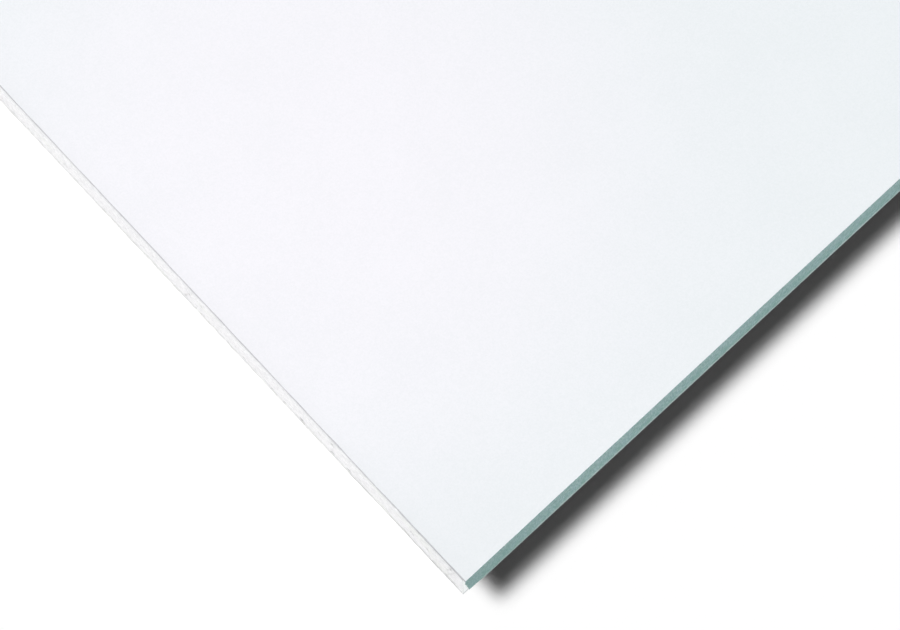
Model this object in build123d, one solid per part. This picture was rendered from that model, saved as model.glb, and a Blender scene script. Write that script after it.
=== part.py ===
from build123d import *
import os

# Ceiling tile: gypsum board with moisture-resistant paper, faced with a white film. Millimetres.
# +Z points up through the white face, and the origin is the middle of the underside.
# The face paper is wrapped round the edges that face +X and -X. The edges that face +Y and -Y are cut.

# Outside sizes
tile_width = 595.0  # between the two wrapped edges, along X
tile_length = 595.0  # between the two cut edges, along Y
board_thickness = 12.5  # from the back paper to the face paper, without the film

# Face paper, one sheet over the face, round both long edges and onto the back as two flaps
face_paper_thickness = 0.4
crease_radius = 0.3  # outside radius of each crease
flap_width = 22.0  # on the back, measured from the wrapped edge

# Back paper, glued over the flaps
back_paper_thickness = 0.4
back_paper_setback = 5.0  # from the wrapped edge to the sheet's own edge

# Face film
face_film_thickness = 0.15

# Tear in the green outer ply of the face paper, at the foot of the +X, -Y corner
torn_ply_thickness = 0.2
tear_width = 4.0  # along the wrapped edge, at its foot
tear_lip_width = 2.3  # the same, where the ragged lip of the tear ends
tear_lip_height = 1.7
tear_neck_width = 0.95  # the same, just above the lip
tear_neck_height = 2.2
tear_height = 11.4  # up the corner
tear_reach = 3.0  # onto the flap
tear_overrun = 1.0  # how far the cutting prism starts outside the paper

# Places worked out from the sizes
half_width = tile_width / 2
half_length = tile_length / 2
flap_bottom = back_paper_thickness
flap_top = flap_bottom + face_paper_thickness
flap_inner = half_width - flap_width
core_half_width = half_width - face_paper_thickness
core_top = board_thickness - face_paper_thickness


def along_the_length(section):
    """A section drawn in X and Z, run from one cut face to the other."""
    return extrude(Plane.XZ * section, amount=half_length, both=True)


def block(x_half, z_low, z_high):
    """A rectangle of a section, as wide to the left of the middle as to the right."""
    middle = (z_low + z_high) / 2
    return Pos(0, middle) * Rectangle(2 * x_half, z_high - z_low)


def gypsum_core():
    """The cast slab. Its back steps up along both long edges, where the flaps are bedded in it."""
    over_flaps = block(core_half_width, flap_top, core_top)
    between_flaps = block(flap_inner, flap_bottom, flap_top)
    return along_the_length(over_flaps + between_flaps)


def tear_in_wall():
    """The prism that takes the outer ply off the wrapped edge: wide at the foot, narrow up the corner."""
    outline = Polygon(
        (-half_length, flap_bottom),
        (-half_length + tear_width, flap_bottom),
        (-half_length + tear_lip_width, flap_bottom + tear_lip_height),
        (-half_length + tear_neck_width, flap_bottom + tear_neck_height),
        (-half_length, flap_bottom + tear_height),
        align=None,
    )
    start = Plane.YZ.offset(half_width - torn_ply_thickness)
    return extrude(start * outline, amount=torn_ply_thickness + tear_overrun)


def tear_in_flap():
    """The prism that takes the same ply off the flap, narrowing away from the edge."""
    corner = (half_width, -half_length)
    outline = Polygon(
        corner,
        (half_width, -half_length + tear_width),
        (half_width - tear_reach, -half_length),
        align=None,
    )
    start = Plane.XY.offset(flap_bottom + torn_ply_thickness)
    return extrude(start * outline, amount=-(torn_ply_thickness + tear_overrun))


def face_paper():
    """One sheet in a C on its back, with a flap under each long edge and one torn corner."""
    outside_height = board_thickness - flap_bottom
    outside_middle = (board_thickness + flap_bottom) / 2
    outside = Pos(0, outside_middle) * RectangleRounded(tile_width, outside_height, crease_radius)
    inside = block(core_half_width, flap_top, core_top)
    between_flaps = block(flap_inner, flap_bottom, flap_top)
    sheet = along_the_length(outside - inside - between_flaps)
    return sheet - tear_in_wall() - tear_in_flap()


def back_paper():
    """The flat sheet that the tile lies on, set back from both wrapped edges."""
    return along_the_length(block(half_width - back_paper_setback, 0, back_paper_thickness))


def face_film():
    """The white film, trimmed flush with all four edges."""
    film_top = board_thickness + face_film_thickness
    return along_the_length(block(half_width, board_thickness, film_top))


pieces = {
    "gypsum_core": gypsum_core(),
    "face_paper": face_paper(),
    "back_paper": back_paper(),
    "face_film": face_film(),
}

os.makedirs("parts", exist_ok=True)
for name, piece in pieces.items():
    export_step(piece, f"parts/{name}.step")
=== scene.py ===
"""Looks of a ceiling tile: gypsum board in green liner paper, faced with a white film.

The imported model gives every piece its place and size. Here the two cut faces get their crumbly relief, the papers
their frayed ends and the film its trimmed edge. Each piece is dressed, and the tile lies on a white floor, seen from
over one corner.
"""

import logging
import math
from dataclasses import dataclass
from enum import Enum
from typing import ClassVar

import bpy
import numpy as np
from mathutils import Matrix, Vector

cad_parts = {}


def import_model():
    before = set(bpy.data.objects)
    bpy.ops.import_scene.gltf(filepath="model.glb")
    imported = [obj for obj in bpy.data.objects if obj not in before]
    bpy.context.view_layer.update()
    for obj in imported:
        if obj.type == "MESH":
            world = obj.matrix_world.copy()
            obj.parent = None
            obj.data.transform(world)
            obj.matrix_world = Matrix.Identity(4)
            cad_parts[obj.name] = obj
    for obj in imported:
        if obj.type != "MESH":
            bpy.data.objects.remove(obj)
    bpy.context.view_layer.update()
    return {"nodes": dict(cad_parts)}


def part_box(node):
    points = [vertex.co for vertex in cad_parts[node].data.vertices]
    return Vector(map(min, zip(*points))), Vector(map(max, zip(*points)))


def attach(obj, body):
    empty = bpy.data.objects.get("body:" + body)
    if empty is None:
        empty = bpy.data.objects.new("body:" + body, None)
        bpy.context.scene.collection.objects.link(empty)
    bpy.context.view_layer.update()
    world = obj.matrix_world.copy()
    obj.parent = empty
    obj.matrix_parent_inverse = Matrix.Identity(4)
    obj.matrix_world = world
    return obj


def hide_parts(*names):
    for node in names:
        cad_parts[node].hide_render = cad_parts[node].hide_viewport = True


LOG = logging.getLogger("ceiling_tile")
MM = 0.001
ROOT_BODY = "root"

Object = bpy.types.Object
Collection = bpy.types.Collection
Socket = bpy.types.NodeSocket
Array = np.ndarray
Triple = tuple[float, float, float]
Span = tuple[float, float]

RISING: Span = (0.0, 1.0)
FALLING: Span = (1.0, 0.0)
NOISE_MIDDLE: Span = (0.36, 0.64)


def srgb(red: float, green: float, blue: float) -> Triple:
    """Turns a screen colour, each part from 0 to 255, into linear light by the sRGB curve."""
    shares = [part / 255.0 for part in (red, green, blue)]
    return tuple(share / 12.92 if share <= 0.04045 else ((share + 0.055) / 1.055) ** 2.4 for share in shares)


def put_in_scene(name: str, data: bpy.types.ID) -> Object:
    """Makes an object and links it to the scene.

    Args:
        name: the object's name.
        data: its mesh, camera or light.

    Returns:
        The object.
    """
    made = bpy.data.objects.new(name, data)
    bpy.context.scene.collection.objects.link(made)
    return made


def points_at(across: Array, along: Array, up: Array) -> Array:
    """Joins places along X, Y and Z, spread to one shape, into points."""
    return np.stack(np.broadcast_arrays(across, along, up), axis=-1)


class Slot(Enum):
    """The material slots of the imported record."""

    GYPSUM = "gypsum"
    GREEN_PAPER = "green_paper"
    GREY_PAPER = "grey_paper"
    WHITE_FILM = "white_film"


class End(Enum):
    """The two cut ends of the tile, by the way they face along Y."""

    FRONT = -1
    BACK = 1


class Side(Enum):
    """Sides of a block of points, by their place in the order in which its faces are made."""

    FRONT_END = 0
    BACK_END = 1
    LAST_ROW = 3
    FIRST_COLUMN = 4
    LAST_COLUMN = 5


class Mark(Enum):
    """What the meshes tell the materials at each vertex, by the attributes' names."""

    # mask of the painted shade near the corners
    CORNER_SHADE = "corner_shade_mask"
    HOLLOW = "hollow"
    TORN = "torn_ply"
    SCUFFED = "scuffed_margin"


class NodeSheet:
    """Adds nodes to one tree and wires them, left to right."""

    COLUMN: ClassVar[float] = 190.0
    NOISE_ROUGHNESS: ClassVar[float] = 0.55

    def __init__(self, tree: bpy.types.NodeTree) -> None:
        """Starts on an existing shader or geometry tree."""
        self.tree = tree
        self.count = 0

    def add(self, kind: str, inputs: dict[str | int, object] | None = None, **settings: object) -> bpy.types.Node:
        """Adds a node.

        Args:
            kind: the node's type.
            inputs: a value or another node's output, for each input by its name or number.
            settings: the node's own properties.

        Returns:
            The new node.
        """
        node = self.tree.nodes.new(kind)
        node.location = (self.COLUMN * self.count, 0.0)
        self.count += 1
        for key, value in settings.items():
            setattr(node, key, value)
        for key, value in (inputs or {}).items():
            if isinstance(value, Socket):
                self.tree.links.new(value, node.inputs[key])
            else:
                node.inputs[key].default_value = value
        return node

    def math(self, operation: str, first: Socket | float, second: Socket | float = 0.0) -> Socket:
        """Joins two numbers by one operation."""
        return self.add("ShaderNodeMath", {0: first, 1: second}, operation=operation).outputs[0]

    def mean(self, first: Socket, second: Socket) -> Socket:
        """The mean of two numbers."""
        return self.math("MULTIPLY", self.math("ADD", first, second), 0.5)

    def axis(self, vector: Socket, name: str) -> Socket:
        """One of a vector's parts: X, Y or Z."""
        return self.add("ShaderNodeSeparateXYZ", {0: vector}).outputs[name]

    def stretch(self, vector: Socket, factors: Triple) -> Socket:
        """Multiplies a vector by one factor for each axis."""
        return self.add("ShaderNodeVectorMath", {0: vector, 1: factors}, operation="MULTIPLY").outputs[0]

    def mark(self, mark: Mark) -> Socket:
        """Reads one of the mesh's marks."""
        return self.add("ShaderNodeAttribute", attribute_name=mark.value).outputs["Fac"]

    def remap(self, value: Socket, span: Span, result: Span = RISING) -> Socket:
        """Carries a value from one span to another, smoothly and with its ends held."""
        inputs = {"Value": value, "From Min": span[0], "From Max": span[1], "To Min": result[0], "To Max": result[1]}
        return self.add("ShaderNodeMapRange", inputs, interpolation_type="SMOOTHSTEP").outputs["Result"]

    def mix(self, share: Socket, under: Socket | Triple, over: Socket | Triple) -> Socket:
        """Blends two colours, from the lower one at share 0 to the upper one at share 1."""
        under, over = (part if isinstance(part, Socket) else (*part, 1.0) for part in (under, over))
        return self.add("ShaderNodeMix", {0: share, 6: under, 7: over}, data_type="RGBA").outputs[2]

    def noise(self, place: Socket, cell: Socket | float, detail: float = 2.0) -> Socket:
        """Noise of a given cell size.

        Args:
            place: the place, in metres.
            cell: the size of one cell, in metres, or an output that gives it.
            detail: how many finer layers are added.

        Returns:
            A value around 0.5.
        """
        scale = self.math("DIVIDE", 1.0, cell) if isinstance(cell, Socket) else 1.0 / cell
        inputs = {"Vector": place, "Scale": scale, "Detail": detail, "Roughness": self.NOISE_ROUGHNESS}
        return self.add("ShaderNodeTexNoise", inputs).outputs["Fac"]


class ShaderGroup:
    """A shader effect that several finishes share, built once.

    Its inputs are the place, Vector, and the numbers that are named in its sizes, with their usual values.
    """

    name: ClassVar[str]
    sizes: ClassVar[dict[str, float]]
    outputs: ClassVar[tuple[str, ...]]

    @classmethod
    def tree(cls) -> bpy.types.ShaderNodeTree:
        """Finds the group's tree, or makes it on the first call.

        Returns:
            The tree.
        """
        found = bpy.data.node_groups.get(cls.name)
        if found:
            return found
        tree = bpy.data.node_groups.new(cls.name, "ShaderNodeTree")
        tree.interface.new_socket("Vector", in_out="INPUT", socket_type="NodeSocketVector")
        for name, value in cls.sizes.items():
            made = tree.interface.new_socket(name, in_out="INPUT", socket_type="NodeSocketFloat")
            made.default_value = value
        for name in cls.outputs:
            tree.interface.new_socket(name, in_out="OUTPUT", socket_type="NodeSocketFloat")
        sheet = NodeSheet(tree)
        results = cls.build(sheet, sheet.add("NodeGroupInput").outputs)
        sheet.add("NodeGroupOutput", dict(zip(cls.outputs, results, strict=True)))
        return tree

    @classmethod
    def build(cls, sheet: NodeSheet, given: bpy.types.NodeOutputs) -> list[Socket]:
        """Lays the group's nodes, and gives one socket for each output."""
        raise NotImplementedError

    @classmethod
    def place(cls, sheet: NodeSheet, place: Socket, sizes: dict[str, float]) -> bpy.types.NodeOutputs:
        """Puts the group into a material, with the sizes that depart from the usual, and gives its outputs."""
        return sheet.add("ShaderNodeGroup", {"Vector": place, **sizes}, node_tree=cls.tree()).outputs


class FibreMottle(ShaderGroup):
    """Matted paper fibres that run mostly along Y, with cloudy patches under them."""

    name = "fibre_mottle"
    sizes = {"Fibre Width": 0.12 * MM, "Cloud Size": 2.5 * MM}
    outputs = ("Fibres", "Clouds", "Height")

    LONG_RUN: ClassVar[Triple] = (1.0, 0.16, 1.0)
    CROSS_RUN: ClassVar[Triple] = (1.0, 0.7, 0.16)
    MATTED: ClassVar[Span] = (0.7, 1.3)

    @classmethod
    def build(cls, sheet: NodeSheet, given: bpy.types.NodeOutputs) -> list[Socket]:
        """Lays two crossing sets of fibres over clouds.

        Args:
            sheet: the group's sheet.
            given: its inputs, by their names.

        Returns:
            One socket for each output.
        """
        long_fibres = sheet.noise(sheet.stretch(given["Vector"], cls.LONG_RUN), given["Fibre Width"], detail=3.0)
        cross_fibres = sheet.noise(sheet.stretch(given["Vector"], cls.CROSS_RUN), given["Fibre Width"])
        fibres = sheet.remap(sheet.math("ADD", long_fibres, cross_fibres), cls.MATTED)
        clouds = sheet.remap(sheet.noise(given["Vector"], given["Cloud Size"], detail=3.0), NOISE_MIDDLE)
        return [fibres, clouds, sheet.mean(fibres, clouds)]


class ChalkGrain(ShaderGroup):
    """The grain of set gypsum: fine crystals, soft patches and pinholes left by the foam."""

    name = "chalk_grain"
    sizes = {"Grain Size": 0.12 * MM, "Pore Size": 0.5 * MM}
    outputs = ("Tone", "Pores", "Height")

    PINHOLE: ClassVar[Span] = (0.12, 0.26)

    @classmethod
    def build(cls, sheet: NodeSheet, given: bpy.types.NodeOutputs) -> list[Socket]:
        """Lays crystals and pinholes over soft patches.

        Args:
            sheet: the group's sheet.
            given: its inputs, by their names.

        Returns:
            One socket for each output.
        """
        grain = sheet.noise(given["Vector"], given["Grain Size"], detail=3.0)
        patches = sheet.noise(given["Vector"], given["Pore Size"])
        scale = sheet.math("DIVIDE", 1.0, given["Pore Size"])
        cells = sheet.add("ShaderNodeTexVoronoi", {"Vector": given["Vector"], "Scale": scale})
        pores = sheet.remap(cells.outputs["Distance"], cls.PINHOLE, FALLING)
        return [sheet.mean(grain, patches), pores, sheet.math("SUBTRACT", grain, pores)]


class HeightBand(ShaderGroup):
    """A line along an edge at one height, with a broken border: wear, smear or dirt."""

    name = "height_band"
    sizes = {"Height": 0.0, "Reach": 0.5 * MM, "Break Size": 1.0 * MM, "Break Share": 0.5}
    outputs = ("Mask",)

    SWING: ClassVar[float] = 4.0
    BORDER: ClassVar[Span] = (0.35, 1.0)

    @classmethod
    def build(cls, sheet: NodeSheet, given: bpy.types.NodeOutputs) -> list[Socket]:
        """Fades from the line's middle to its reach, which wanders along the edge.

        Args:
            sheet: the group's sheet.
            given: its inputs, by their names.

        Returns:
            One socket for each output.
        """
        away = sheet.math("ABSOLUTE", sheet.math("SUBTRACT", sheet.axis(given["Vector"], "Z"), given["Height"]))
        wander = sheet.math("SUBTRACT", sheet.noise(given["Vector"], given["Break Size"]), 0.5)
        swing = sheet.math("MULTIPLY", sheet.math("MULTIPLY", wander, given["Break Share"]), cls.SWING)
        share = sheet.math("ADD", sheet.math("DIVIDE", away, given["Reach"]), swing)
        return [sheet.remap(share, cls.BORDER, FALLING)]


@dataclass(frozen=True)
class Finish:
    """A finish with a name, from which one material is made."""

    name: str

    def material(self) -> bpy.types.Material:
        """Builds the material.

        Returns:
            The material.
        """
        made = bpy.data.materials.new(self.name)
        made.use_nodes = True
        made.node_tree.nodes.clear()
        sheet = NodeSheet(made.node_tree)
        surface = self.surface(sheet, sheet.add("ShaderNodeTexCoord").outputs["Object"])
        sheet.add("ShaderNodeOutputMaterial", {"Surface": surface})
        return made

    def surface(self, sheet: NodeSheet, place: Socket) -> Socket:
        """Lays the finish's own nodes, and gives the shader's output."""
        raise NotImplementedError


@dataclass(frozen=True)
class Coat:
    """A colour that is laid over another by a share of its mask."""

    colour: Triple
    share: float

    def over(self, sheet: NodeSheet, under: Socket | Triple, by: Socket) -> Socket:
        """Lays the coat as thickly as the mask says."""
        return sheet.mix(sheet.math("MULTIPLY", by, self.share), under, self.colour)


@dataclass(frozen=True)
class Fade(Coat):
    """A coat that thins out with the distance, to nothing at its reach."""

    reach: float

    def over(self, sheet: NodeSheet, under: Socket | Triple, by: Socket) -> Socket:
        """Lays the coat by the distance from where it is thickest."""
        return sheet.mix(sheet.remap(by, (0.0, self.reach), (self.share, 0.0)), under, self.colour)


@dataclass(frozen=True)
class Blotches(Coat):
    """A coat in blotches, where noise rises through a span."""

    cell: float
    span: Span
    detail: float

    def over(self, sheet: NodeSheet, under: Socket | Triple, by: Socket) -> Socket:
        """Lays the blotches by the place."""
        noise = sheet.noise(by, self.cell, self.detail)
        return sheet.mix(sheet.remap(noise, self.span, (0.0, self.share)), under, self.colour)


@dataclass(frozen=True, kw_only=True)
class GrainedFinish(Finish):
    """A finish of several coats, whose surface has a fine relief."""

    roughness: float = 0.95
    specular: float = 0.02
    relief: float = 0.03 * MM

    @staticmethod
    def layered(sheet: NodeSheet, colour: Socket, *coats: tuple[Coat, Socket]) -> Socket:
        """Lays coats over a colour, one after the other.

        Args:
            sheet: the material's sheet.
            colour: the colour under them.
            coats: each coat, with the mask, distance or place that it goes by.

        Returns:
            The colour with its coats.
        """
        for coat, by in coats:
            colour = coat.over(sheet, colour, by)
        return colour

    def shader(self, sheet: NodeSheet, colour: Socket, height: Socket, roughness: Socket | None = None) -> Socket:
        """Ends the finish in a shader with a bump.

        Args:
            sheet: the material's sheet.
            colour: the base colour.
            height: the bump's height, from 0 to 1, where 1 stands for the relief.
            roughness: the roughness, where it varies.

        Returns:
            The shader's output.
        """
        bump = sheet.add("ShaderNodeBump", {"Strength": 1.0, "Distance": self.relief, "Height": height})
        inputs = {
            "Base Color": colour,
            "Roughness": self.roughness if roughness is None else roughness,
            "Specular IOR Level": self.specular,
            "Normal": bump.outputs["Normal"],
        }
        return sheet.add("ShaderNodeBsdfPrincipled", inputs).outputs["BSDF"]


@dataclass(frozen=True, kw_only=True)
class FilmFinish(GrainedFinish):
    """Satin white film with a very fine, barely visible grain, with painted shade near its corners and a little
    dulled at its cut ends.
    """

    corner: Triple
    colour: Triple = srgb(239.5, 244, 247)
    shade: Triple = srgb(234.5, 240, 242.5)
    # painted shade: the film darkens towards each corner, standing in for the fall of light
    painted_film_corner_shade: Fade = Fade(srgb(222, 226, 228), 0.17, 26.0 * MM)
    dull_end: Fade = Fade(srgb(222, 226, 228), 0.12, 3.0 * MM)
    grain: float = 0.22 * MM
    grain_share: float = 0.75
    cloud: float = 9.0 * MM
    mottled: Span = (0.3, 0.7)
    roughness: float = 0.5
    roughness_swing: float = 0.06
    specular: float = 0.25
    relief: float = 0.004 * MM

    def surface(self, sheet: NodeSheet, place: Socket) -> Socket:
        """Lays a fine grain over broad, faint clouds, paints shade near the corners, and dulls the cut ends.

        Args:
            sheet: the material's sheet.
            place: the point of the piece, in metres.

        Returns:
            The shader's output.
        """
        fine = sheet.noise(place, self.grain)
        clouds = sheet.math("MULTIPLY", sheet.noise(place, self.cloud), 1.0 - self.grain_share)
        mottle = sheet.math("ADD", sheet.math("MULTIPLY", fine, self.grain_share), clouds)
        colour = sheet.mix(sheet.remap(mottle, self.mottled), self.colour, self.shade)
        folded = sheet.add("ShaderNodeVectorMath", {0: place}, operation="ABSOLUTE").outputs[0]
        away = sheet.add("ShaderNodeVectorMath", {0: folded, 1: self.corner}, operation="DISTANCE").outputs["Value"]
        inward = sheet.math("SUBTRACT", self.corner[1], sheet.axis(folded, "Y"))
        # painted shade near the corners, then the dulled cut ends
        colour = self.layered(sheet, colour, (self.painted_film_corner_shade, away), (self.dull_end, inward))
        swing = (self.roughness - self.roughness_swing, self.roughness + self.roughness_swing)
        return self.shader(sheet, colour, fine, sheet.remap(fine, self.mottled, swing))


@dataclass(frozen=True, kw_only=True)
class LinerFinish(GrainedFinish):
    """Matt green liner paper: greyer near the face, deeper near the foot, with a painted highlight along the lower
    crease.
    """

    top: float
    foot: float
    end: float
    upper: Triple = srgb(163, 186, 184)
    lower: Triple = srgb(109, 151, 140)
    tint_width: float = 0.42 * MM
    tint_cloud: float = 2.2 * MM
    bluish: Coat = Coat(srgb(151, 178, 182), 0.6)
    greenish: Coat = Coat(srgb(106, 151, 138), 0.55)
    run: Triple = (1.0, 1.0, 0.2)
    streaks: Blotches = Blotches(srgb(151, 178, 182), 0.7, 0.8 * MM, (0.42, 0.58), 4.0)
    fibre_width: float = 0.16 * MM
    fibre: Coat = Coat(srgb(180, 198, 196), 0.3)
    specks: Blotches = Blotches(srgb(98, 128, 126), 0.54, 0.25 * MM, NOISE_MIDDLE, 1.0)
    crease_rise: float = 0.7 * MM
    crease_reach: float = 1.25 * MM
    # painted highlight: a pale line along the lower crease
    painted_crease_highlight: Coat = Coat(srgb(178, 195, 192), 0.75)
    # painted shade: the green paper darkens towards its cut ends, standing in for the fall of light
    painted_corner_shade: Fade = Fade(srgb(110, 141, 137), 0.36, 24.0 * MM)
    scuffed: Triple = srgb(184, 185, 189)
    bare: Triple = srgb(246, 249, 249)
    # painted shade: a grey line along the crease of the torn ply
    painted_bare_crease_shade: Triple = srgb(205, 210, 209)
    roughness: float = 0.9
    relief: float = 0.02 * MM

    def surface(self, sheet: NodeSheet, place: Socket) -> Socket:
        """Lays fibres and tints, a painted highlight along the crease, painted shade near the cut ends, the scuffed
        margin and the torn ply, with painted shade along its crease.

        Args:
            sheet: the material's sheet.
            place: the point of the piece, in metres.

        Returns:
            The shader's output.
        """
        tint = FibreMottle.place(sheet, place, {"Fibre Width": self.tint_width, "Cloud Size": self.tint_cloud})
        fibre = FibreMottle.place(sheet, place, {"Fibre Width": self.fibre_width})
        band = {"Height": self.foot + self.crease_rise, "Reach": self.crease_reach}
        crease = HeightBand.place(sheet, place, band)["Mask"]
        run = sheet.stretch(place, self.run)
        from_end = sheet.math("SUBTRACT", self.end, sheet.math("ABSOLUTE", sheet.axis(place, "Y")))
        height = sheet.remap(sheet.axis(place, "Z"), (self.foot, self.top))
        colour = self.layered(
            sheet,
            sheet.mix(height, self.lower, self.upper),
            (self.bluish, tint["Clouds"]),
            (self.greenish, tint["Fibres"]),
            (self.streaks, run),
            (self.fibre, fibre["Fibres"]),
            (self.specks, run),
            (self.painted_crease_highlight, crease),
            (self.painted_corner_shade, from_end),
        )
        colour = sheet.mix(sheet.mark(Mark.SCUFFED), colour, self.scuffed)
        colour = sheet.mix(sheet.mark(Mark.TORN), colour, sheet.mix(crease, self.bare, self.painted_bare_crease_shade))
        return self.shader(sheet, colour, fibre["Height"])


@dataclass(frozen=True, kw_only=True)
class BackLinerFinish(GrainedFinish):
    """Matt grey recycled liner paper with darker flecks."""

    colour: Triple = srgb(199, 196, 189)
    pale: Coat = Coat(srgb(214, 211, 204), 0.35)
    flecks: Blotches = Blotches(srgb(150, 146, 138), 0.6, 1.1 * MM, (0.62, 0.72), 4.0)
    fibre_width: float = 0.15 * MM
    cloud: float = 6.0 * MM
    roughness: float = 0.9

    def surface(self, sheet: NodeSheet, place: Socket) -> Socket:
        """Lays fibres and sparse flecks.

        Args:
            sheet: the material's sheet.
            place: the point of the piece, in metres.

        Returns:
            The shader's output.
        """
        fibre = FibreMottle.place(sheet, place, {"Fibre Width": self.fibre_width, "Cloud Size": self.cloud})
        colour = sheet.mix(fibre["Clouds"], self.colour, self.pale.colour)
        colour = self.layered(sheet, colour, (self.pale, fibre["Fibres"]), (self.flecks, place))
        return self.shader(sheet, colour, fibre["Height"])


@dataclass(frozen=True, kw_only=True)
class CutPaperFinish(GrainedFinish):
    """The inner plies of a paper sheet: grey along its cut ends and its glued side, pale where an end stands."""

    colour: Triple = srgb(180, 181, 184)
    pale: Triple = srgb(202, 203, 205)
    # painted shade: the cut plies darken towards the corners
    painted_corner_shade: Coat = Coat(srgb(140, 141, 144), 0.42)
    bare: Triple = srgb(234, 237, 236)
    bare_heights: Span = (1.0 * MM, 12.0 * MM)
    fibre_width: float = 0.1 * MM
    cloud: float = 1.6 * MM

    @classmethod
    def glued(cls, name: str) -> "CutPaperFinish":
        """The finish of a sheet's glued side, which is paler than its cut ends."""
        return cls(name, colour=srgb(205, 205, 204), pale=srgb(228, 228, 227))

    def surface(self, sheet: NodeSheet, place: Socket) -> Socket:
        """Lays broken plies, and the bare end of the wrapped wall.

        Args:
            sheet: the material's sheet.
            place: the point of the piece, in metres.

        Returns:
            The shader's output.
        """
        fibre = FibreMottle.place(sheet, place, {"Fibre Width": self.fibre_width, "Cloud Size": self.cloud})
        colour = sheet.mix(fibre["Clouds"], self.colour, self.pale)
        colour = self.painted_corner_shade.over(sheet, colour, sheet.mark(Mark.CORNER_SHADE))
        height = sheet.axis(place, "Z")
        above = sheet.math("GREATER_THAN", height, self.bare_heights[0])
        below = sheet.math("LESS_THAN", height, self.bare_heights[1])
        colour = sheet.mix(sheet.math("MULTIPLY", above, below), colour, self.bare)
        return self.shader(sheet, colour, fibre["Fibres"])


@dataclass(frozen=True, kw_only=True)
class GypsumFinish(GrainedFinish):
    """Chalky gypsum, with grey bands beside both papers, painted shade near the corners and painted shade in its
    deeper hollows.
    """

    top: float
    foot: float
    colour: Triple = srgb(251, 251, 252)
    shade: Triple = srgb(231, 231, 233)
    shaded: Span = (0.38, 0.62)
    pores: Coat = Coat(srgb(200, 200, 200), 0.5)
    tinge: Blotches = Blotches(srgb(234, 238, 228), 0.22, 7.0 * MM, (0.58, 0.7), 1.0)
    # grey bands along the top and the foot of the cut face, and painted shade near the corners
    grey_bands_and_corner_shade: Coat = Coat(srgb(178, 179, 181), 0.17)
    # painted shade in the deeper hollows of the cut faces
    painted_hollow_shade: Triple = srgb(172, 173, 172)
    grain: float = 0.25 * MM
    pore_size: float = 0.8 * MM
    top_reach: float = 1.3 * MM
    top_break: float = 0.3
    top_shares: Span = (0.35, 0.9)
    foot_rise: float = 0.4 * MM
    foot_reach: float = 1.7 * MM
    foot_shares: Span = (0.25, 0.35)

    def surface(self, sheet: NodeSheet, place: Socket) -> Socket:
        """Lays the grain, a faint tinge, the grey bands at the top and the foot, made darker towards the corners by
        painted shade, painted shade near the corners, and painted shade in the deeper hollows.

        Args:
            sheet: the material's sheet.
            place: the point of the piece, in metres.

        Returns:
            The shader's output.
        """
        chalk = ChalkGrain.place(sheet, place, {"Grain Size": self.grain, "Pore Size": self.pore_size})
        colour = sheet.mix(sheet.remap(chalk["Tone"], self.shaded), self.colour, self.shade)
        colour = self.layered(sheet, colour, (self.pores, chalk["Pores"]), (self.tinge, place))
        painted_corner_shade = sheet.mark(Mark.CORNER_SHADE)
        at_top = {"Height": self.top, "Reach": self.top_reach, "Break Share": self.top_break}
        at_foot = {"Height": self.foot + self.foot_rise, "Reach": self.foot_reach}
        for sizes, shares in ((at_top, self.top_shares), (at_foot, self.foot_shares)):
            band = HeightBand.place(sheet, place, sizes)["Mask"]
            # the bands grow darker towards the corners, which is painted shade
            share = sheet.math("MULTIPLY", band, sheet.remap(painted_corner_shade, RISING, shares))
            colour = sheet.mix(share, colour, self.grey_bands_and_corner_shade.colour)
        # painted shade near the corners
        colour = self.grey_bands_and_corner_shade.over(sheet, colour, painted_corner_shade)
        # painted shade in the hollows, darker with their depth
        colour = sheet.mix(sheet.mark(Mark.HOLLOW), colour, self.painted_hollow_shade)
        return self.shader(sheet, colour, chalk["Height"])


@dataclass(frozen=True)
class FloorFinish(Finish):
    """Plain white floor that is see-through from below, so that the tile's back can be looked at."""

    colour: Triple = (0.985, 0.985, 0.985)

    def surface(self, sheet: NodeSheet, place: Socket) -> Socket:
        """Lays a matt white surface on the upper side only.

        Args:
            sheet: the material's sheet.
            place: the point of the piece, in metres.

        Returns:
            The shader's output.
        """
        matt = sheet.add("ShaderNodeBsdfDiffuse", {"Color": (*self.colour, 1.0)}).outputs[0]
        clear = sheet.add("ShaderNodeBsdfTransparent").outputs[0]
        from_below = sheet.add("ShaderNodeNewGeometry").outputs["Backfacing"]
        return sheet.add("ShaderNodeMixShader", {0: from_below, 1: matt, 2: clear}).outputs[0]


@dataclass(frozen=True)
class SmoothNoise:
    """Smooth noise on a plane, from -1 to 1."""

    seed: int
    cell: float
    LATTICE: ClassVar[tuple[int, int]] = (2048, 64)

    def at(self, along: Array, up: Array) -> Array:
        """Reads the noise.

        Args:
            along: places along the edge, in metres.
            up: heights, in metres, of a shape that goes with along.

        Returns:
            The noise at each place.
        """
        lattice = np.random.default_rng(self.seed).uniform(-1.0, 1.0, self.LATTICE)
        column, row = (np.floor(place / self.cell).astype(int) for place in (along, up))
        across, above = along / self.cell - column, up / self.cell - row
        across, above = (t * t * (3.0 - 2.0 * t) for t in (across, above))

        def corner(right: int, over: int) -> Array:
            """The lattice's number at one corner of each place's cell."""
            return lattice[(column + right) % self.LATTICE[0], (row + over) % self.LATTICE[1]]

        low, high = (corner(0, over) * (1.0 - across) + corner(1, over) * across for over in (0, 1))
        return low * (1.0 - above) + high * above


@dataclass(frozen=True)
class Spacing:
    """Places along a cut edge: close together near the corner that is seen, wider apart past it."""

    fine_stretch: float = 75.0 * MM
    fine_step: float = 0.17 * MM
    coarse_step: float = 0.66 * MM

    def places(self, low: float, high: float) -> Array:
        """Lays out the places.

        Args:
            low: the far end, in metres.
            high: the end at the corner that is seen.

        Returns:
            The places, from low to high.
        """
        turn = high - self.fine_stretch
        coarse = np.linspace(low, turn, int(round((turn - low) / self.coarse_step)), endpoint=False)
        fine = np.linspace(turn, high, int(round(self.fine_stretch / self.fine_step)) + 1)
        return np.concatenate([coarse, fine])


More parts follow.
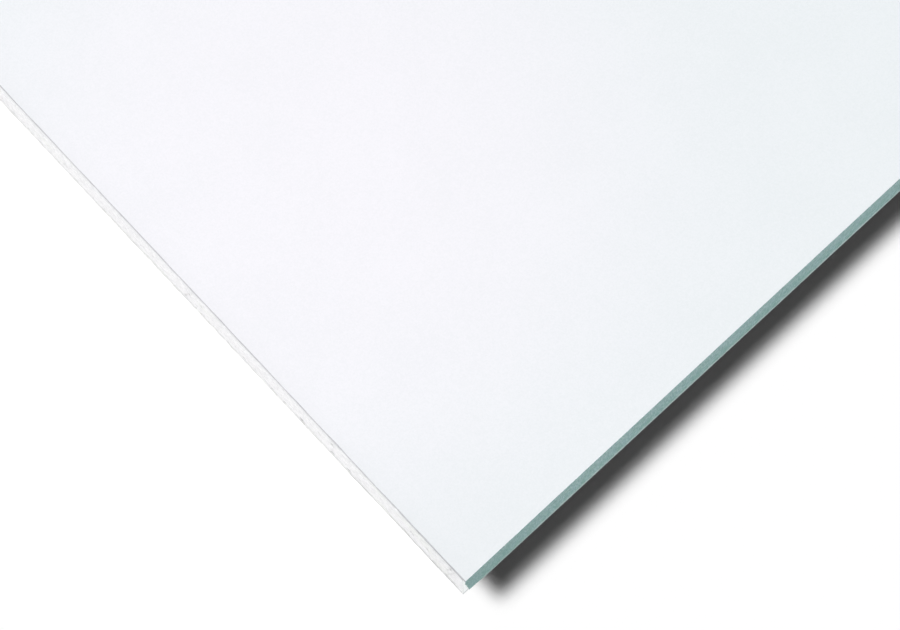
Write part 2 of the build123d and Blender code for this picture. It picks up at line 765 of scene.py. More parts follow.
@dataclass
class Skin:
    """The closed surface of a block of points, as an object, with the number of each vertex."""

    piece: Object
    numbers: Array
    counts: list[int]

    SHARP: ClassVar[float] = math.radians(50.0)

    @classmethod
    def of_block(cls, name: str, points: Array) -> "Skin":
        """Wraps a block of points in faces that point outwards.

        Args:
            name: the piece's name.
            points: stations by rows by columns by 3, in metres. The first and last stations are the cut ends.

        Returns:
            The surface.
        """
        outside = np.ones(points.shape[:3], bool)
        outside[1:-1, 1:-1, 1:-1] = False
        numbers = np.full(outside.shape, -1)
        numbers[outside] = np.arange(outside.sum())
        corners = points[outside]
        views = (numbers, numbers.transpose(1, 2, 0), numbers.transpose(2, 0, 1))
        parts = [cls.quads(view[index], index == 0) for view in views for index in (0, -1)]
        faces = np.concatenate(parts)
        if cls.is_inside_out(corners, faces):
            faces = faces[:, ::-1]
        mesh = bpy.data.meshes.new(name)
        mesh.from_pydata(corners.tolist(), [], faces.tolist())
        mesh.shade_smooth()
        mesh.set_sharp_from_angle(angle=cls.SHARP)
        return cls(put_in_scene(name, mesh), numbers, [len(part) for part in parts])

    @staticmethod
    def quads(sheet: Array, turned: bool) -> Array:
        """Joins a sheet of vertex numbers into four-sided faces, the other way round if turned."""
        loops = (sheet[:-1, :-1], sheet[1:, :-1], sheet[1:, 1:], sheet[:-1, 1:])
        return np.stack([loop.ravel() for loop in (loops[::-1] if turned else loops)], axis=1)

    @staticmethod
    def is_inside_out(corners: Array, faces: Array) -> bool:
        """Whether the faces point inwards, so that the volume inside them comes out below zero."""
        first, second, third, fourth = (corners[faces[:, i]] for i in range(4))
        return np.einsum("ij,ij", first, np.cross(second, third) + np.cross(third, fourth)) < 0.0

    def faces_of(self, side: Side) -> slice:
        """Where the faces of one side stand in the mesh."""
        first = sum(self.counts[: side.value])
        return slice(first, first + self.counts[side.value])

    def dress(self, finish: Finish, others: dict[Finish, tuple[Side, ...]] | None = None) -> None:
        """Gives the piece its finish, and some of its sides others.

        Args:
            finish: the finish of the whole piece, or of all but the named sides.
            others: more finishes, each with the sides that it goes on.
        """
        mesh = self.piece.data
        mesh.materials.append(finish.material())
        indices = np.zeros(len(mesh.polygons), int)
        for number, (other, sides) in enumerate((others or {}).items(), start=1):
            mesh.materials.append(other.material())
            for side in sides:
                indices[self.faces_of(side)] = number
        mesh.polygons.foreach_set("material_index", indices)

    def mark(self, mark: Mark, values: Array) -> None:
        """Keeps one number for each point of the block as an attribute of the mesh.

        Args:
            mark: what the numbers say.
            values: the numbers, of the block's shape or spread to it.
        """
        shown = self.numbers >= 0
        attribute = self.piece.data.attributes.new(mark.value, "FLOAT", "POINT")
        ordered = np.zeros(shown.sum(), np.float32)
        ordered[self.numbers[shown]] = np.broadcast_to(values, shown.shape)[shown]
        attribute.data.foreach_set("value", ordered)


@dataclass(frozen=True)
class TileFrame:
    """The places of the tile's layers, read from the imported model, in metres."""

    half_width: float
    half_length: float
    back_top: float
    flap_top: float
    core_top: float
    paper_top: float
    film_top: float
    core_half: float
    flap_inner: float
    back_half: float

    # reach of the painted shade at the corners
    CORNER_SHADE_REACH: ClassVar[float] = 14.0 * MM
    LEVEL: ClassVar[float] = 0.01 * MM

    @classmethod
    def read(cls, nodes: dict[str, Object]) -> "TileFrame":
        """Reads the places from the boxes of the nodes.

        Args:
            nodes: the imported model's nodes, by name.

        Returns:
            The places.
        """
        core_low, core_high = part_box("gypsum_core")
        film_low, film_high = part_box("face_film")
        back_low, back_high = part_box("back_paper")
        corners = [vertex.co for vertex in nodes["gypsum_core"].data.vertices]
        return cls(
            half_width=film_high.x,
            half_length=film_high.y,
            back_top=back_high.z,
            flap_top=back_high.z + (film_low.z - core_high.z),
            core_top=core_high.z,
            paper_top=film_low.z,
            film_top=film_high.z,
            core_half=core_high.x,
            flap_inner=max(co.x for co in corners if abs(co.z - core_low.z) < cls.LEVEL),
            back_half=back_high.x,
        )

    def painted_corner_shade(self, along: Array, reach: float = CORNER_SHADE_REACH) -> Array:
        """How much painted shade each place along a cut edge gets: 1 at the corners, less further in."""
        return np.exp((np.abs(along) - self.half_width) / reach)

    def cut_end(self, end: End, along: Array, up: Array, behind: Array) -> Array:
        """The points of a cut end, each as far behind the saw's plane as asked."""
        return points_at(along, end.value * (self.half_length - behind), up)


@dataclass(frozen=True)
class Chip:
    """One hollow broken out of the cut face near the corner that is seen."""

    from_corner: float
    height: float
    half_width: float
    half_height: float
    depth: float


@dataclass(frozen=True)
class Nick:
    """One slanting scratch in the cut face near the corner that is seen."""

    from_corner: float
    height: float
    run: float
    width: float
    depth: float
    lean: float


@dataclass
class CutFace:
    """The depths of a cut face behind the plane of the saw, in columns of places along X and rows of heights."""

    along: Array
    up: Array
    depth: Array

    def sink(self, middle: Span, reach: Span, deep: float) -> None:
        """Presses in one rounded hollow.

        Args:
            middle: its middle, along and up.
            reach: its half width and half height.
            deep: its depth at the middle.
        """
        part = slice(*np.searchsorted(self.along, (middle[0] - reach[0], middle[0] + reach[0])))
        across = ((self.along[part] - middle[0]) / reach[0]) ** 2
        away = across + ((self.up[:, part] - middle[1]) / reach[1]) ** 2
        self.depth[:, part] += deep * np.sqrt(np.clip(1.0 - away, 0.0, 1.0))

    def break_out(self, chip: Chip, corner: float) -> None:
        """Presses in one chip, with its place taken from the corner's."""
        self.sink((corner - chip.from_corner, chip.height), (chip.half_width, chip.half_height), chip.depth)

    def scratch(self, nick: Nick) -> None:
        """Cuts in one slanting scratch.

        Args:
            nick: the scratch.
        """
        drop = nick.height - self.up
        middle = self.along[-1] - nick.from_corner - nick.lean * drop
        near = np.clip(1.0 - np.abs(self.along - middle) / nick.width, 0.0, 1.0)
        self.depth += np.where((drop > 0.0) & (drop < nick.run), near * nick.depth, 0.0)


@dataclass(frozen=True)
class CutRelief:
    """How far a cut gypsum face lies behind the plane of the saw.

    Its waves are pairs of a height and a cell size. Its placed chips and nicks are rows of their sizes, in
    millimetres and in the order of their fields, with a nick's lean as a plain share.
    """

    seed: int
    top_depth: float = 0.008 * MM
    foot_depth: float = 0.025 * MM
    waves: tuple[Span, ...] = ((0.02 * MM, 9.0 * MM), (0.03 * MM, 1.3 * MM), (0.025 * MM, 0.45 * MM))
    quiet_below_top: float = 1.8 * MM
    quiet_share: float = 0.08
    pits: int = 2600
    pit_radius: Span = (0.12 * MM, 0.5 * MM)
    pit_rarity: int = 3
    pit_share: float = 0.55
    chips: int = 420
    chip_sizes: tuple[Span, ...] = ((0.3 * MM, 2.0 * MM), (0.2 * MM, 1.0 * MM), (0.03 * MM, 0.2 * MM))
    placed_chips: tuple[tuple[float, ...], ...] = ()
    nicks: tuple[tuple[float, ...], ...] = ()

    def depth(self, along: Array, up: Array, low: float, high: float) -> Array:
        """Works out the depth at a grid of places.

        Args:
            along: the columns' places along X, in metres.
            up: rows by columns of heights, in metres.
            low: the foot of the face.
            high: its top.

        Returns:
            Rows by columns of depths, none below zero.
        """
        base = self.top_depth + (self.foot_depth - self.top_depth) * np.clip((high - up) / (high - low), 0.0, 1.0)
        rough = np.zeros(up.shape)
        for number, (wave, cell) in enumerate(self.waves):
            rough += wave * SmoothNoise(self.seed + number, cell).at(along, up)
        rough *= np.clip((high - up) / self.quiet_below_top, self.quiet_share, 1.0)
        face = CutFace(along, up, base + rough)
        rng = np.random.default_rng(self.seed + len(self.waves))
        smallest, largest = self.pit_radius
        for _ in range(self.pits):
            radius = smallest + (largest - smallest) * rng.random() ** self.pit_rarity
            middle = rng.uniform(along[0], along[-1]), rng.uniform(low, high - radius)
            face.sink(middle, (radius, radius), self.pit_share * radius)
        for _ in range(self.chips):
            width, height, deep = (rng.uniform(*span) for span in self.chip_sizes)
            face.sink((rng.uniform(along[0], along[-1]), low), (width / 2, height), deep)
        for sizes in self.placed_chips:
            face.break_out(Chip(*(size * MM for size in sizes)), along[-1])
        for *sizes, lean in self.nicks:
            face.scratch(Nick(*(size * MM for size in sizes), lean))
        return np.maximum(face.depth, 0.0)


@dataclass
class Layer:
    """One layer of the tile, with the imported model's places and the spacing of its own points."""

    frame: TileFrame
    spacing: Spacing = Spacing()


@dataclass
class GypsumCore(Layer):
    """The cast slab, with a crumbly relief on its two cut faces."""

    rows: int = 36
    row_crowding: float = 0.07
    front: CutRelief = CutRelief(
        seed=11,
        placed_chips=(
            (2.9, 1.0, 0.4, 0.9, 0.22),
            (7.9, 0.9, 0.4, 0.8, 0.14),
            (9.6, 5.2, 0.35, 1.3, 0.2),
            (10.5, 1.1, 0.4, 1.0, 0.15),
            (12.8, 0.4, 6.4, 1.6, 0.045),
            (13.6, 1.0, 0.4, 0.8, 0.11),
            (19.4, 1.3, 0.4, 1.1, 0.12),
            (21.8, 1.5, 0.4, 1.4, 0.2),
            (24.9, 1.5, 0.35, 1.2, 0.26),
            (24.6, 7.8, 0.3, 1.4, 0.36),
            (30.8, 1.6, 0.5, 1.5, 0.6),
            (34.1, 1.1, 0.4, 1.1, 0.26),
            (36.6, 1.1, 0.45, 1.1, 0.26),
            (45.3, 1.1, 0.6, 0.9, 0.1),
            (48.3, 1.1, 0.6, 0.9, 0.1),
            (51.7, 1.2, 0.5, 1.1, 0.22),
            (57.8, 1.1, 0.7, 0.9, 0.1),
        ),
        nicks=(
            (1.35, 11.2, 8.0, 0.18, 0.16, 0.17),
            (2.05, 11.2, 7.0, 0.18, 0.14, 0.17),
            (51.15, 10.6, 8.8, 0.26, 0.16, 0.34),
        ),
    )
    back: CutRelief = CutRelief(seed=57)
    # depths over which the painted shade in the hollows grows from none to full
    hollow_shade_depth: Span = (0.08 * MM, 0.28 * MM)

    def build(self) -> Skin:
        """Builds the slab from its two cut faces.

        Returns:
            The slab's surface.
        """
        f = self.frame
        along = self.spacing.places(-f.core_half, f.core_half)
        foot = np.where(np.abs(along) > f.flap_inner, f.flap_top, f.back_top)
        share = np.linspace(0.0, 1.0, self.rows)
        share = share - self.row_crowding * np.sin(math.tau * share)
        up = foot + share[:, None] * (f.core_top - foot)
        depths = [relief.depth(along, up, f.back_top, f.core_top) for relief in (self.front, self.back)]
        ends = [f.cut_end(end, along, up, depth) for end, depth in zip(End, depths, strict=True)]
        skin = Skin.of_block("cut_gypsum_core", np.stack(ends))
        shallow, deep = self.hollow_shade_depth
        skin.mark(Mark.HOLLOW, np.clip((np.stack(depths) - shallow) / (deep - shallow), 0.0, 1.0))
        skin.mark(Mark.CORNER_SHADE, f.painted_corner_shade(along))
        skin.dress(GypsumFinish("chalky_gypsum", top=f.core_top, foot=f.back_top))
        return skin


@dataclass
class BackPaper(Layer):
    """The grey sheet of the back, with frayed cut ends and a shallow dip under the slab's widest chip."""

    rows: int = 3
    seeds: tuple[int, int] = (21, 67)
    tuft_cell: float = 1.3 * MM
    tuft_flatness: float = 0.2
    tuft_mean: float = 0.5
    tuft_swing: float = 0.9
    fullest_tuft: float = 1.3
    fray: float = 0.02 * MM
    thread_cell: float = 0.35 * MM
    thread: float = 0.012 * MM
    # reach of the painted shade at the back paper's corners
    corner_shade_reach: float = 7.0 * MM
    dip: Chip = Chip(13.2 * MM, 0.0, 6.4 * MM, 4.0 * MM, 0.045 * MM)

    def behind(self, along: Array, up: Array, seed: int) -> Array:
        """Works out how far a frayed end lies behind the saw's plane.

        Args:
            along: places along X, in metres.
            up: rows by columns of heights, in metres.
            seed: the end's own seed.

        Returns:
            Rows by columns of depths, none below zero.
        """
        tufts = SmoothNoise(seed, self.tuft_cell).at(along, up * self.tuft_flatness)
        threads = SmoothNoise(seed + 1, self.thread_cell).at(along, up)
        tufts = np.clip(self.tuft_mean + self.tuft_swing * tufts, 0.0, self.fullest_tuft)
        return np.maximum(self.fray * tufts + self.thread * threads, 0.0)

    def build(self) -> Skin:
        """Builds the sheet from its two cut ends.

        Returns:
            The sheet's surface.
        """
        f = self.frame
        along = self.spacing.places(-f.back_half, f.back_half)
        up = np.repeat(np.linspace(0.0, f.back_top, self.rows)[:, None], len(along), axis=1)
        front, back = (self.behind(along, up, seed) for seed in self.seeds)
        CutFace(along, up, front).break_out(self.dip, f.half_width)
        ends = [f.cut_end(End.FRONT, along, up, front), f.cut_end(End.BACK, along, up, back)]
        skin = Skin.of_block("frayed_back_paper", np.stack(ends))
        skin.mark(Mark.CORNER_SHADE, f.painted_corner_shade(along, self.corner_shade_reach))
        cut = CutPaperFinish("cut_grey_liner", colour=srgb(196, 196, 195), pale=srgb(228, 228, 226))
        glued = CutPaperFinish.glued("glued_grey_liner")
        skin.dress(BackLinerFinish("grey_liner"), {cut: (Side.FRONT_END, Side.BACK_END), glued: (Side.LAST_ROW,)})
        return skin


@dataclass
class FacePaper(Layer):
    """The green sheet that covers the face, wraps both long edges and returns on the back as flaps."""

    crease: float = 0.3 * MM
    inner_crease: float = 0.05 * MM
    arc_steps: int = 5
    wall_steps: int = 60
    flap_steps: int = 44
    end_seeds: tuple[int, int] = (31, 77)
    end_fray: float = 0.012 * MM
    end_cell: float = 0.5 * MM
    torn_ply: float = 0.2 * MM
    tear_heights: tuple[float, ...] = (0.0, 1.1 * MM, 1.6 * MM, 6.5 * MM, 10.2 * MM)
    tear_widths: tuple[float, ...] = (4.0 * MM, 2.3 * MM, 0.85 * MM, 0.42 * MM, 0.0)
    tear_reach: float = 3.0 * MM
    jag_seed: int = 91
    jag: float = 0.1 * MM
    jag_cell: float = 0.7 * MM
    jag_slant: float = 2.0
    lip: float = 0.06 * MM
    scuff_short: float = 0.05 * MM

    def fold(self, half: float, top: float, foot: float, radius: float) -> Array:
        """One line of the sheet's +X side: over a crease, down the wall, over the other and along the flap.

        Args:
            half: the wall's place along X.
            top: the face's height.
            foot: the flap's height.
            radius: the radius of both creases.

        Returns:
            Points of X and Z.
        """
        arc = np.linspace(0.0, math.pi / 2, self.arc_steps)
        wall = np.linspace(0.0, 1.0, self.wall_steps)[1:-1]
        flap = np.linspace(0.0, 1.0, self.flap_steps)[1:]
        middle, head, toe = half - radius, top - radius, foot + radius
        across, up = radius * np.sin(arc), radius * np.cos(arc)
        parts = (
            (middle + across, head + up),
            (half, head - wall * (top - foot - 2 * radius)),
            (middle + up, toe - across),
            (middle - flap * (middle - self.frame.flap_inner), foot),
        )
        return np.concatenate([np.stack(np.broadcast_arrays(*part), axis=1) for part in parts])

    def section(self) -> tuple[Array, Array]:
        """The section, from the -X flap over the face to the +X flap.

        Returns:
            The outer and the inner line, as points of X and Z that go in pairs.
        """
        f = self.frame
        edge = f.half_width - self.crease
        face = self.spacing.places(-edge, edge)[1:-1]
        outer = (f.half_width, f.paper_top, f.back_top, self.crease)
        inner = (f.core_half, f.core_top, f.flap_top, self.inner_crease)
        lines = []
        for half, top, foot, radius in (outer, inner):
            fold = self.fold(half, top, foot, radius)
            flat = np.stack([face * ((half - radius) / edge), np.full(face.shape, top)], axis=1)
            lines.append(np.concatenate([fold[::-1] * (-1.0, 1.0), flat, fold]))
        return lines[0], lines[1]

    def tear(self, outer: Array) -> Array:
        """Works out how far the torn ply reaches along the wrapped edge.

        Args:
            outer: the outer line.

        Returns:
            The tear's width at each point of the line, in metres.
        """
        f = self.frame
        across, height = outer[:, 0], outer[:, 1] - f.back_top
        on_flap = (across > 0.0) & (height < self.crease)
        up_the_wall = np.interp(height, self.tear_heights, self.tear_widths)
        inward = np.clip((f.half_width - self.crease - across) / self.tear_reach, 0.0, 1.0)
        along_the_flap = np.where(on_flap, self.tear_widths[0] * (1.0 - inward), 0.0)
        reach = np.where(across > f.half_width - self.crease, up_the_wall, along_the_flap)
        jags = self.jag * SmoothNoise(self.jag_seed, self.jag_cell).at(across, outer[:, 1] + self.jag_slant * across)
        return np.where(reach > 0.0, np.maximum(reach + jags, 0.0), 0.0)

    def build(self) -> Skin:
        """Builds the sheet along its four stations: the cut end, both sides of the tear's border, the far end.

        Returns:
            The sheet's surface.
        """
        f = self.frame
        outer, inner = self.section()
        walk = np.concatenate([[0.0], np.cumsum(np.linalg.norm(np.diff(outer, axis=0), axis=1))])
        walk, layer = np.broadcast_arrays(walk, np.array([[0.0], [f.core_half]]))
        frays = [SmoothNoise(seed, self.end_cell).at(walk, layer) for seed in self.end_seeds]
        front, back = (self.end_fray * (1.0 + fray) for fray in frays)
        reach = self.tear(outer)
        torn = reach > 2 * self.lip
        border = -f.half_length + np.where(torn, reach, 2 * self.lip)
        sunk = np.where(torn, self.torn_ply / (f.paper_top - f.core_top), 0.0)
        whole, bared = np.stack([outer, inner]), np.stack([outer + (inner - outer) * sunk[:, None], inner])
        stations = (
            (bared, -f.half_length + front),
            (bared, border),
            (whole, border + self.lip),
            (whole, f.half_length - back),
        )
        points = np.stack([points_at(line[..., 0], along, line[..., 1]) for line, along in stations])
        skin = Skin.of_block("wrapped_face_paper", points)
        torn_points, scuffed_points = np.zeros((2, *skin.numbers.shape))
        torn_points[:2, 0] = torn
        scuffed_points[[0, 1, -1], 0] = np.abs(outer[:, 0]) < f.half_width - self.scuff_short
        skin.mark(Mark.TORN, torn_points)
        skin.mark(Mark.SCUFFED, scuffed_points)
        skin.mark(Mark.CORNER_SHADE, f.painted_corner_shade(outer[:, 0]))
        liner = LinerFinish("green_liner", top=f.paper_top, foot=f.back_top, end=f.half_length)
        edges = (Side.FRONT_END, Side.BACK_END, Side.FIRST_COLUMN, Side.LAST_COLUMN)
        glued = CutPaperFinish.glued("glued_green_liner")
        skin.dress(liner, {CutPaperFinish("cut_green_liner"): edges, glued: (Side.LAST_ROW,)})
        skin.piece.visible_diffuse = False
        return skin


@dataclass
class FaceFilm(Layer):
    """The white film, trimmed a hair's breadth behind the paper."""

    trim: float = 0.08 * MM
    trim_at_corner: float = 0.085 * MM
    corner_stretch: float = 40.0 * MM
    wander_cell: float = 2.4 * MM
    wander_share: float = 0.4
    seeds: tuple[int, int] = (41, 87)
    side_places: tuple[float, ...] = (7.0 * MM, 28.0 * MM, 45.0 * MM)
    side_trims: tuple[float, ...] = (0.0, 0.011 * MM, 0.011 * MM, 0.025 * MM, 0.012 * MM)

    def trimmed_end(self, end: End, seed: int, along: Array, up: Array) -> Array:
        """Lays out one trimmed end.

        Args:
            end: which end.
            seed: the end's own seed.
            along: places along X, in metres.
            up: rows by columns of heights, in metres.

        Returns:
            Its points.
        """
        wander = SmoothNoise(seed, self.wander_cell).at(along, np.zeros(up.shape))
        near = np.exp(-(self.frame.half_width - along) / self.corner_stretch)
        trim = self.trim + (self.trim_at_corner - self.trim) * near
        return self.frame.cut_end(end, along, up, trim * (1.0 + self.wander_share * wander))

    def build(self) -> Skin:
        """Builds the film from its two trimmed ends and from stations between them, where its sides wander.

        Returns:
            The film's surface.
        """
        f = self.frame
        along = self.spacing.places(-f.half_width, f.half_width)
        up = np.repeat(np.array([[f.paper_top], [f.film_top]]), len(along), axis=1)
        front, back = (self.trimmed_end(end, seed, along, up) for end, seed in zip(End, self.seeds, strict=True))
        between = [points_at(along, place - f.half_length, up) for place in self.side_places]
        points = np.stack([front, *between, back])
        points[..., 0] *= 1.0 - np.array(self.side_trims)[:, None, None] / f.half_width
        skin = Skin.of_block("trimmed_face_film", points)
        skin.dress(FilmFinish("satin_white_film", corner=(f.half_width, f.half_length, f.film_top)))
        return skin


@dataclass
class EdgeCrumbs:
    """Loose gypsum grains that cling to the two cut faces."""

    frame: TileFrame
    core: Skin
    density: float = 380000.0
    smallest: float = 0.035 * MM
    largest: float = 0.11 * MM
    flattest: float = 0.55
    seed: int = 5

    def tree(self, finish: Finish) -> bpy.types.GeometryNodeTree:
        """Builds the tree that strews grains over a surface.

        Args:
            finish: the grains' finish.

        Returns:
            The tree, with Density, Smallest, Largest and Seed as inputs.
        """
        tree = bpy.data.node_groups.new("strewn_grains", "GeometryNodeTree")
        kinds = {"Geometry": "Geometry", "Density": "Float", "Smallest": "Float", "Largest": "Float", "Seed": "Int"}
        for name, kind in kinds.items():
            tree.interface.new_socket(name, in_out="INPUT", socket_type=f"NodeSocket{kind}")
        tree.interface.new_socket("Geometry", in_out="OUTPUT", socket_type="NodeSocketGeometry")
        sheet = NodeSheet(tree)
        given = sheet.add("NodeGroupInput").outputs
        seed = {"Seed": given["Seed"]}
        ground = {"Mesh": given["Geometry"], "Density": given["Density"]}
        strewn = sheet.add("GeometryNodeDistributePointsOnFaces", ground | seed)
        grain = sheet.add("GeometryNodeMeshIcoSphere", {"Radius": 1.0, "Subdivisions": 1})
        size = sheet.add("FunctionNodeRandomValue", {2: given["Smallest"], 3: given["Largest"]} | seed)
        shape, turn = (
            sheet.add("FunctionNodeRandomValue", {0: (low,) * 3, 1: (high,) * 3} | seed, data_type="FLOAT_VECTOR")
            for low, high in ((self.flattest, 1.0), (0.0, math.tau))
        )
        scale = sheet.add("ShaderNodeVectorMath", {0: shape.outputs[0], "Scale": size.outputs[1]}, operation="SCALE")
        inputs = {
            "Points": strewn.outputs["Points"],
            "Instance": grain.outputs["Mesh"],
            "Rotation": turn.outputs[0],
            "Scale": scale.outputs[0],
        }
        placed = sheet.add("GeometryNodeInstanceOnPoints", inputs)
        real = sheet.add("GeometryNodeRealizeInstances", {"Geometry": placed.outputs["Instances"]})
        dressed = sheet.add("GeometryNodeSetMaterial", {"Geometry": real.outputs["Geometry"]})
        dressed.inputs["Material"].default_value = finish.material()
        sheet.add("NodeGroupOutput", {"Geometry": dressed.outputs["Geometry"]})
        return tree

    def build(self) -> Object:
        """Strews the grains, and keeps them as a plain mesh behind the saw's plane.

        Returns:
            The grains, as one piece.
        """
        f, source = self.frame, self.core.piece.data
        corners = [tuple(vertex.co) for vertex in source.vertices]
        ends = [self.core.faces_of(side) for side in (Side.FRONT_END, Side.BACK_END)]
        ground = bpy.data.meshes.new("cut_faces")
        ground.from_pydata(corners, [], [tuple(face.vertices) for end in ends for face in source.polygons[end]])
        carrier = put_in_scene("cut_faces", ground)
        modifier = carrier.modifiers.new("strewn_grains", "NODES")
        modifier.node_group = self.tree(GypsumFinish("loose_gypsum", top=f.core_top, foot=f.back_top))
        values = {"Density": self.density, "Smallest": self.smallest, "Largest": self.largest, "Seed": self.seed}
        for item in modifier.node_group.interface.items_tree:
            if item.in_out == "INPUT" and item.name in values:
                modifier[item.identifier] = values[item.name]
        mesh = bpy.data.meshes.new_from_object(carrier.evaluated_get(bpy.context.evaluated_depsgraph_get()))
        carrier.modifiers.remove(modifier)
        bpy.data.objects.remove(carrier)
        bpy.data.meshes.remove(ground)
        places = np.zeros((len(mesh.vertices), 3), np.float32)
        mesh.vertices.foreach_get("co", places.ravel())
        places[:, 1:] = places[:, 1:].clip((-f.half_length, f.back_top), (f.half_length, f.core_top))
        mesh.vertices.foreach_set("co", places.ravel())
        mesh.name = "edge_crumbs"
        return put_in_scene("edge_crumbs", mesh)


@dataclass(frozen=True)
class CornerView:
    """The camera over the +X, -Y corner, looking down on the white face."""

    azimuth: float = math.radians(46.091)
    elevation: float = math.radians(75.310)
    roll: float = math.radians(0.963)
    lens_mm: float = 100.0
    sensor_mm: float = 36.0
    nearest: float = 10.0 * MM
    distance: float = 312.0 * MM
    corner_right: float = 1.902 * MM
    corner_up: float = -33.283 * MM

    def build(self, corner: Vector) -> None:
        """Makes the scene's camera.

        Args:
            corner: the tile's upper corner, which the view is set by.
        """
        level = Vector((math.cos(self.azimuth), math.sin(self.azimuth), 0.0))
        inward = math.cos(self.elevation)
        back = Vector((level.y * inward, -level.x * inward, math.sin(self.elevation)))
        rise = back.cross(level)
        right = level * math.cos(self.roll) + rise * math.sin(self.roll)
        up = rise * math.cos(self.roll) - level * math.sin(self.roll)
        place = corner + back * self.distance - right * self.corner_right - up * self.corner_up
        lens = bpy.data.cameras.new("corner_view")
        lens.lens = self.lens_mm
        lens.sensor_width = self.sensor_mm
        lens.clip_start = self.nearest
        camera = put_in_scene("corner_view", lens)
        camera.matrix_world = Matrix.Translation(place) @ Matrix((right, up, back)).transposed().to_4x4()
        bpy.context.scene.camera = camera


@dataclass(frozen=True)
class SunLamp:
    """A lamp as far away as the sun."""

    name: str
    towards: Triple
    level: float
    disc_deg: float

    def build(self, lit: Collection, shading: Collection) -> None:
        """Makes the lamp.

        Args:
            lit: what it lights.
            shading: what throws a shadow in its light.
        """
        light = bpy.data.lights.new(self.name, "SUN")
        light.energy = self.level * math.pi
        light.angle = math.radians(self.disc_deg)
        lamp = put_in_scene(self.name, light)
        lamp.rotation_mode = "QUATERNION"
        lamp.rotation_quaternion = Vector(self.towards).to_track_quat("Z", "Y")
        lamp.light_linking.receiver_collection = lit
        lamp.light_linking.blocker_collection = shading


@dataclass(frozen=True)
class SoftPanel:
    """A small, softly glowing panel over a part of the face."""

    name: str
    over: Triple
    side: float
    power: float
    colour: Triple

    def build(self, corner: Vector, lit: Collection) -> None:
        """Makes the lamp.

        Args:
            corner: the tile's upper corner, which the panel is placed from.
            lit: what it lights.
        """
        light = bpy.data.lights.new(self.name, "AREA")
        light.shape = "DISK"
        light.size = self.side
        light.energy = self.power
        light.color = self.colour
        lamp = put_in_scene(self.name, light)
        lamp.location = corner + Vector(self.over)
        lamp.visible_camera = False
        lamp.visible_glossy = False
        lamp.light_linking.receiver_collection = lit


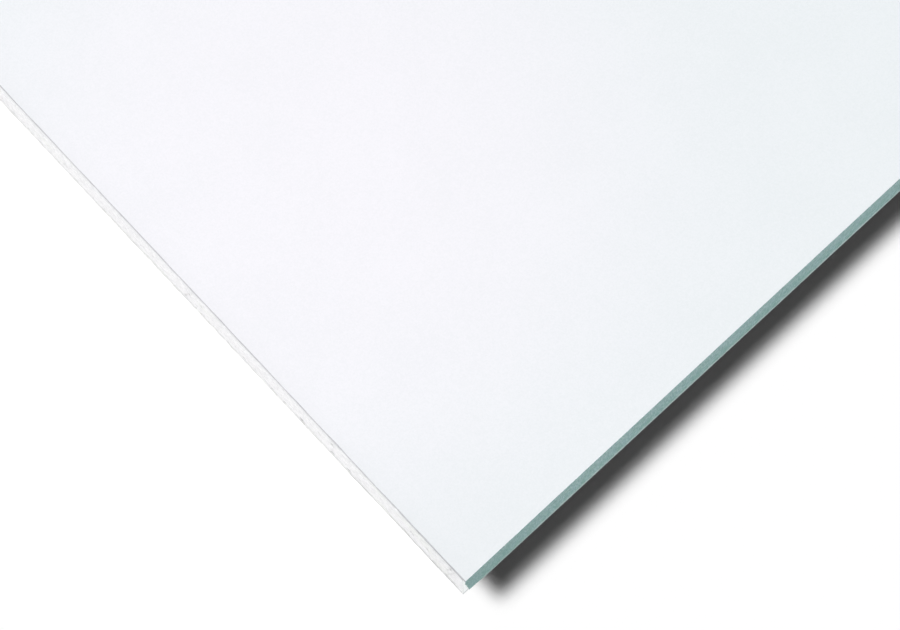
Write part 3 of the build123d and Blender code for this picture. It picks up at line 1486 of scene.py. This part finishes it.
@dataclass
class Studio:
    """A white floor, one high soft key lamp, and low lamps that lift the tile's sides.

    The film alone shades the floor, and the floor throws no light back, so the shadow keeps clear of the corner that
    is seen and stays as deep at the tile's foot as further out.
    """

    floor_half: float = 12.0
    floor_gap: float = 0.05 * MM
    ambient: float = 0.06
    key_towards: Triple = (-3.45, -2.93, 12.5)
    key_disc_deg: float = 14.0
    tile_level: float = 0.98
    floor_levels: tuple[Span, ...] = ((0.48, 9.8), (0.54, 17.8))
    sides: tuple[SunLamp, ...] = (
        SunLamp("right_side", (1.0, 0.0, -0.12), 0.41, 8.0),
        SunLamp("far_side", (0.0, 1.0, -0.12), 0.82, 8.0),
        SunLamp("left_side", (-1.0, 0.0, -0.12), 0.67, 8.0),
        SunLamp("near_side", (0.5, -0.85, -0.1), 0.82, 8.0),
        SunLamp("underside", (0.0, 0.0, -1.0), 0.55, 30.0),
    )
    sheen: SoftPanel = SoftPanel("sheen", (-54.2 * MM, 21.1 * MM, 18.0 * MM), 83.4 * MM, 0.00184, (1.0, 0.36, 0.62))

    def build(self, pieces: list[Object], film: Object, corner: Vector) -> None:
        """Makes the floor, the lamps and the world.

        Args:
            pieces: the tile's own pieces.
            film: the one among them that shades the floor.
            corner: the tile's upper corner at which the view is aimed.
        """
        ground = self.gather("ground", [self.floor()])
        tile = self.gather("tile_pieces", pieces)
        cover = self.gather("floor_shading", [film])
        for level, disc_deg in self.floor_levels:
            SunLamp("key_on_floor", self.key_towards, level, disc_deg).build(ground, cover)
        SunLamp("key_on_tile", self.key_towards, self.tile_level, self.key_disc_deg).build(tile, tile)
        for lamp in self.sides:
            lamp.build(tile, tile)
        self.sheen.build(corner, tile)
        self.world()

    @staticmethod
    def gather(name: str, members: list[Object]) -> Collection:
        """Puts objects together for the lamps' sake.

        Args:
            name: the collection's name.
            members: the objects.

        Returns:
            The collection.
        """
        collection = bpy.data.collections.new(name)
        for member in members:
            collection.objects.link(member)
        return collection

    def floor(self) -> Object:
        """Lays the floor just under the tile.

        Returns:
            The floor.
        """
        half, level = self.floor_half, -self.floor_gap
        mesh = bpy.data.meshes.new("floor")
        corners = [(-half, -half, level), (half, -half, level), (half, half, level), (-half, half, level)]
        mesh.from_pydata(corners, [], [(0, 1, 2, 3)])
        mesh.materials.append(FloorFinish("white_floor").material())
        floor = put_in_scene("floor", mesh)
        floor.visible_diffuse = False
        return floor

    def world(self) -> None:
        """Makes the surroundings: white to look at, and dim as a light."""
        world = bpy.data.worlds.new("surroundings")
        world.use_nodes = True
        world.node_tree.nodes.clear()
        sheet = NodeSheet(world.node_tree)
        path = sheet.add("ShaderNodeLightPath").outputs
        seen = sheet.math("MAXIMUM", path["Is Camera Ray"], path["Is Glossy Ray"])
        seen = sheet.math("MAXIMUM", seen, path["Is Transmission Ray"])
        strength = sheet.remap(seen, RISING, (self.ambient, 1.0))
        background = sheet.add("ShaderNodeBackground", {"Color": (1.0, 1.0, 1.0, 1.0), "Strength": strength})
        sheet.add("ShaderNodeOutputWorld", {"Surface": background.outputs[0]})
        bpy.context.scene.world = world


def ride(piece: Object, slot: Slot, *nodes: str) -> Object:
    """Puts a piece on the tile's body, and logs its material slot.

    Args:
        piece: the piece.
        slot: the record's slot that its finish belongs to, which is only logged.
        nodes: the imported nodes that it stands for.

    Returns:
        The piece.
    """
    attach(piece, ROOT_BODY)
    if nodes:
        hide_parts(*nodes)
    LOG.info("%s: %d faces, slot %s", piece.name, len(piece.data.polygons), slot.value)
    return piece


def main() -> None:
    """Builds the tile's pieces, the studio and the camera, in that order."""
    logging.basicConfig(level=logging.INFO, format="%(name)s: %(message)s")
    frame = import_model()
    places = TileFrame.read(frame["nodes"])
    core = GypsumCore(places).build()
    film = ride(FaceFilm(places).build().piece, Slot.WHITE_FILM, "face_film")
    pieces = [
        ride(core.piece, Slot.GYPSUM, "gypsum_core"),
        ride(EdgeCrumbs(places, core).build(), Slot.GYPSUM),
        ride(FacePaper(places).build().piece, Slot.GREEN_PAPER, "face_paper"),
        ride(BackPaper(places).build().piece, Slot.GREY_PAPER, "back_paper"),
        film,
    ]
    corner = Vector((places.half_width, -places.half_length, places.film_top))
    Studio().build(pieces, film, corner)
    CornerView().build(corner)
    bpy.context.scene.view_settings.view_transform = "Standard"


if __name__ == "__main__":
    main()
